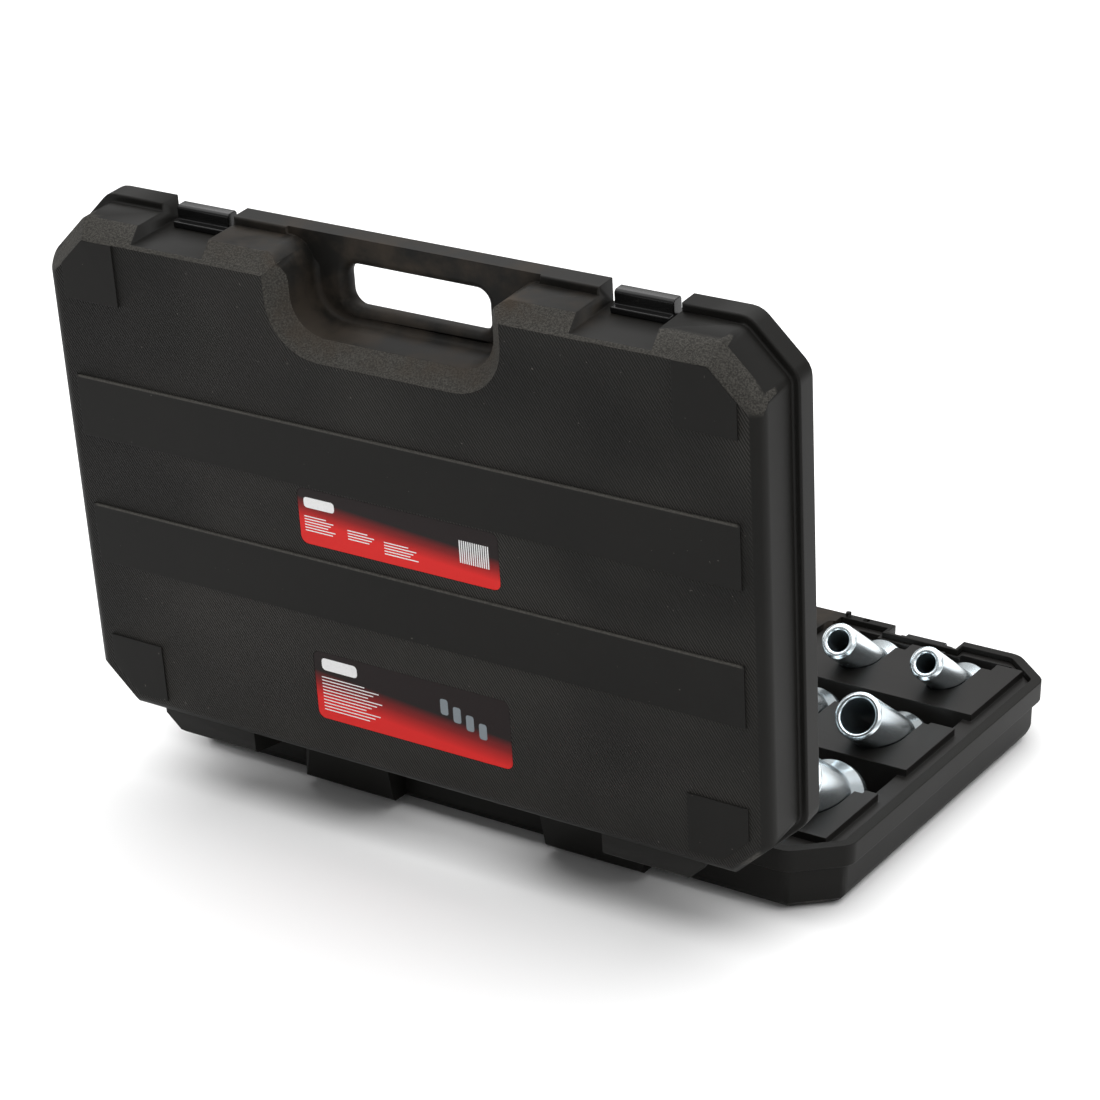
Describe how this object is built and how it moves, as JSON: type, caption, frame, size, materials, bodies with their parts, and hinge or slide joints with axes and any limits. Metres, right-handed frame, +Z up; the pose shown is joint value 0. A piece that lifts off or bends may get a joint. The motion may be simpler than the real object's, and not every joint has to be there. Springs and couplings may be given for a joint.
{
  "type": "press sleeve set in carrying case",
  "caption": "Open two-part carrying case with a moulded tray of stepped steel press sleeves, a receiving bush and thrust rings, with a hinged lid, two latches and a carrying grip.",
  "frame": {"origin": "middle of the case's underside, on the surface it stands on", "axes": "+Z up, +X along the case's width, -Y towards the carrying grip and the latches, +Y towards the lid's hinge"},
  "size_m": [0.5, 0.4614, 0.4007],
  "materials": {
    "case_black": "blow-moulded black plastic, textured panel with smooth raised bands",
    "tray_black": "smooth black moulded plastic",
    "label_print": "printed film, black fading to red",
    "pin_steel": "plain steel wire",
    "latch_black": "glossy black moulded plastic",
    "zinc_steel": "turned steel with bright bluish zinc plating"
  },
  "bodies": {
    "base": {"base_shell": "case_black", "base_tray": "tray_black", "hinge_pin_left": "pin_steel", "hinge_pin_right": "pin_steel", "latch_bracket_left": "latch_black", "latch_bracket_right": "latch_black", "latch_pin_left": "pin_steel", "latch_pin_right": "pin_steel"},
    "lid": {"lid_shell": "case_black", "lid_liner": "tray_black", "label_upper": "label_print", "label_lower": "label_print", "latch_keeper_left": "latch_black", "latch_keeper_right": "latch_black"},
    "latch_left": {"latch_lever_left": "latch_black"},
    "latch_right": {"latch_lever_right": "latch_black"},
    "sleeve_front_1_body": {"sleeve_front_1": "zinc_steel"},
    "sleeve_front_2_body": {"sleeve_front_2": "zinc_steel"},
    "sleeve_middle_1_body": {"sleeve_middle_1": "zinc_steel"},
    "sleeve_middle_2_body": {"sleeve_middle_2": "zinc_steel"},
    "sleeve_middle_3_body": {"sleeve_middle_3": "zinc_steel"},
    "sleeve_middle_4_body": {"sleeve_middle_4": "zinc_steel"},
    "sleeve_rear_1_body": {"sleeve_rear_1": "zinc_steel"},
    "sleeve_rear_2_body": {"sleeve_rear_2": "zinc_steel"},
    "sleeve_rear_3_body": {"sleeve_rear_3": "zinc_steel"},
    "sleeve_rear_4_body": {"sleeve_rear_4": "zinc_steel"},
    "receiving_bush_body": {"receiving_bush": "zinc_steel"},
    "thrust_ring_1_body": {"thrust_ring_1": "zinc_steel"},
    "thrust_ring_2_body": {"thrust_ring_2": "zinc_steel"},
    "thrust_ring_3_body": {"thrust_ring_3": "zinc_steel"},
    "thrust_ring_4_body": {"thrust_ring_4": "zinc_steel"}
  },
  "joints": [
    {"name": "lid_hinge", "type": "hinge", "parent": "base", "child": "lid", "pos_m": [0, 0.1865, 0.0435], "axis": [-1, 0, 0], "range_deg": [-97.1, 0]},
    {"name": "latch_left_hinge", "type": "hinge", "parent": "base", "child": "latch_left", "pos_m": [-0.1517, -0.168, 0.0355], "axis": [1, 0, 0], "range_deg": [-150, 0]},
    {"name": "latch_right_hinge", "type": "hinge", "parent": "base", "child": "latch_right", "pos_m": [0.1517, -0.168, 0.0355], "axis": [1, 0, 0], "range_deg": [-150, 0]},
    {"name": "sleeve_front_1_lift", "type": "slide", "parent": "base", "child": "sleeve_front_1_body", "axis": [0, -0.4924, 0.8704], "range_m": [0, 0.07]},
    {"name": "sleeve_front_2_lift", "type": "slide", "parent": "base", "child": "sleeve_front_2_body", "axis": [0, -0.4924, 0.8704], "range_m": [0, 0.07]},
    {"name": "sleeve_middle_1_lift", "type": "slide", "parent": "base", "child": "sleeve_middle_1_body", "axis": [0, -0.4924, 0.8704], "range_m": [0, 0.07]},
    {"name": "sleeve_middle_2_lift", "type": "slide", "parent": "base", "child": "sleeve_middle_2_body", "axis": [0, -0.4924, 0.8704], "range_m": [0, 0.07]},
    {"name": "sleeve_middle_3_lift", "type": "slide", "parent": "base", "child": "sleeve_middle_3_body", "axis": [0, -0.4924, 0.8704], "range_m": [0, 0.07]},
    {"name": "sleeve_middle_4_lift", "type": "slide", "parent": "base", "child": "sleeve_middle_4_body", "axis": [0, -0.4924, 0.8704], "range_m": [0, 0.07]},
    {"name": "sleeve_rear_1_lift", "type": "slide", "parent": "base", "child": "sleeve_rear_1_body", "axis": [0, -0.4924, 0.8704], "range_m": [0, 0.07]},
    {"name": "sleeve_rear_2_lift", "type": "slide", "parent": "base", "child": "sleeve_rear_2_body", "axis": [0, -0.4924, 0.8704], "range_m": [0, 0.07]},
    {"name": "sleeve_rear_3_lift", "type": "slide", "parent": "base", "child": "sleeve_rear_3_body", "axis": [0, -0.4924, 0.8704], "range_m": [0, 0.07]},
    {"name": "sleeve_rear_4_lift", "type": "slide", "parent": "base", "child": "sleeve_rear_4_body", "axis": [0, -0.4924, 0.8704], "range_m": [0, 0.07]},
    {"name": "receiving_bush_lift", "type": "slide", "parent": "base", "child": "receiving_bush_body", "axis": [0, 0, 1], "range_m": [0, 0.07]},
    {"name": "thrust_ring_1_lift", "type": "slide", "parent": "base", "child": "thrust_ring_1_body", "axis": [0, 0, 1], "range_m": [0, 0.07]},
    {"name": "thrust_ring_2_lift", "type": "slide", "parent": "base", "child": "thrust_ring_2_body", "axis": [0, 0, 1], "range_m": [0, 0.07]},
    {"name": "thrust_ring_3_lift", "type": "slide", "parent": "base", "child": "thrust_ring_3_body", "axis": [0, 0, 1], "range_m": [0, 0.07]},
    {"name": "thrust_ring_4_lift", "type": "slide", "parent": "base", "child": "thrust_ring_4_body", "axis": [0, 0, 1], "range_m": [0, 0.07]}
  ]
}
